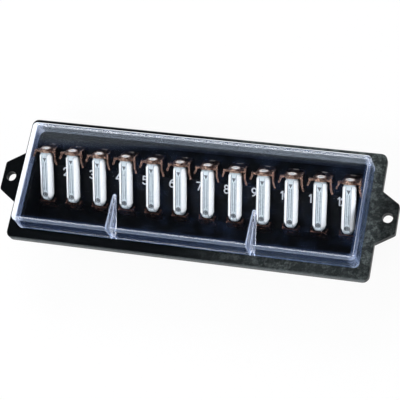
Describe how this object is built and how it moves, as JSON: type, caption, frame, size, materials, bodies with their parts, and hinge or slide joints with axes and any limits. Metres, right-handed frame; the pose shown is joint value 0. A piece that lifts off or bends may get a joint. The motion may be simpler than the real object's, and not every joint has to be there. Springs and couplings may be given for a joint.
{
  "type": "fuse box",
  "caption": "Panel-mounted fuse box: black base with screw ears, tilted torpedo fuses in sprung contact clips, clear pull-off cover.",
  "frame": {"origin": "centre of the mounting face, the underside of the flange, midway between the two screw holes", "axes": "+X along the row of fuses, +Y towards the upper ends of the fuses, +Z out of the panel"},
  "size_m": [0.1794, 0.057, 0.0352],
  "materials": {
    "black_plastic": "satin",
    "clear_plastic": "polished",
    "ceramic": "glazed",
    "zinc": "dull",
    "copper_alloy": "satin"
  },
  "bodies": {
    "base_body": {"base": "black_plastic", "fuse_body_01": "ceramic", "fuse_body_02": "ceramic", "fuse_body_03": "ceramic", "fuse_body_04": "ceramic", "fuse_body_05": "ceramic", "fuse_body_06": "ceramic", "fuse_body_07": "ceramic", "fuse_body_08": "ceramic", "fuse_body_09": "ceramic", "fuse_body_10": "ceramic", "fuse_body_11": "ceramic", "fuse_body_12": "ceramic", "fuse_strip_01": "zinc", "fuse_strip_02": "zinc", "fuse_strip_03": "zinc", "fuse_strip_04": "zinc", "fuse_strip_05": "zinc", "fuse_strip_06": "zinc", "fuse_strip_07": "zinc", "fuse_strip_08": "zinc", "fuse_strip_09": "zinc", "fuse_strip_10": "zinc", "fuse_strip_11": "zinc", "fuse_strip_12": "zinc", "rear_clip_01": "copper_alloy", "rear_clip_02": "copper_alloy", "rear_clip_03": "copper_alloy", "rear_clip_04": "copper_alloy", "rear_clip_05": "copper_alloy", "rear_clip_06": "copper_alloy", "rear_clip_07": "copper_alloy", "rear_clip_08": "copper_alloy", "rear_clip_09": "copper_alloy", "rear_clip_10": "copper_alloy", "rear_clip_11": "copper_alloy", "rear_clip_12": "copper_alloy", "front_clip_01": "copper_alloy", "front_clip_02": "copper_alloy", "front_clip_03": "copper_alloy", "front_clip_04": "copper_alloy", "front_clip_05": "copper_alloy", "front_clip_06": "copper_alloy", "front_clip_07": "copper_alloy", "front_clip_08": "copper_alloy", "front_clip_09": "copper_alloy", "front_clip_10": "copper_alloy", "front_clip_11": "copper_alloy", "front_clip_12": "copper_alloy"},
    "cover_body": {"cover": "clear_plastic"}
  },
  "joints": [
    {"name": "cover_lift", "type": "slide", "parent": "base_body", "child": "cover_body", "axis": [0, 0, 1], "range_m": [0, 0.03]}
  ]
}
